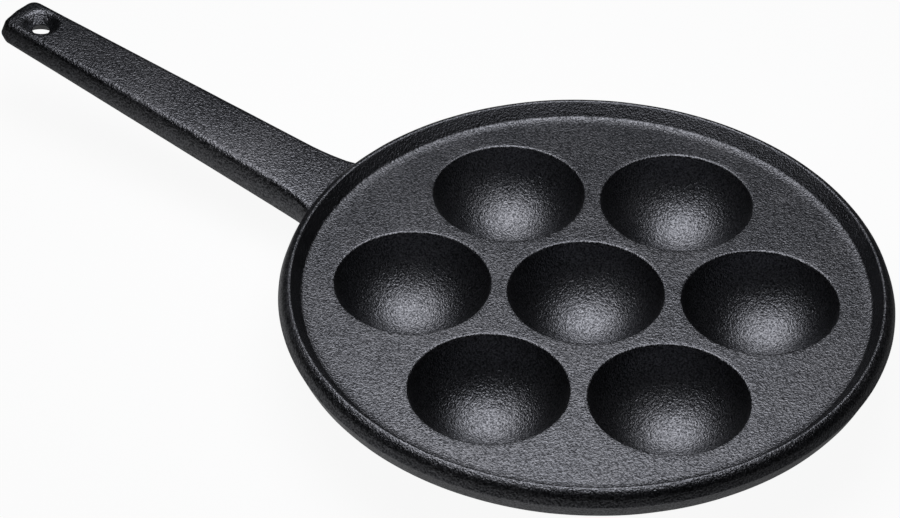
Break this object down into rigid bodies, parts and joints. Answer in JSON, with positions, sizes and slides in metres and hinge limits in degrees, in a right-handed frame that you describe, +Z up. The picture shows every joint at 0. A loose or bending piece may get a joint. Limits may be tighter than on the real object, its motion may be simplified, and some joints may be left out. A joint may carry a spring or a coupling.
{
  "type": "poffertjes pan",
  "caption": "Round cast-iron plate with a raised rim, a ring of half-round wells about a central one, and a long rising bar handle with a hanging hole, for baking small pancake balls.",
  "frame": {"origin": "on the plate's axis, on the flat underside of the central well, where the pan stands", "axes": "+Z up along the plate's axis, -X along the handle to its tip, Y across the pan"},
  "size_m": [0.3646, 0.2124, 0.0417],
  "materials": {
    "cast_iron": "pre-seasoned black sand casting, fine pebbled skin, satin sheen"
  },
  "bodies": {
    "root": {"deck_plate": "cast_iron", "rim_wall": "cast_iron", "well_centre": "cast_iron", "well_1": "cast_iron", "well_2": "cast_iron", "well_3": "cast_iron", "well_4": "cast_iron", "well_5": "cast_iron", "well_6": "cast_iron", "handle_root": "cast_iron", "handle_grip": "cast_iron", "hanging_eye": "cast_iron"}
  },
  "joints": []
}
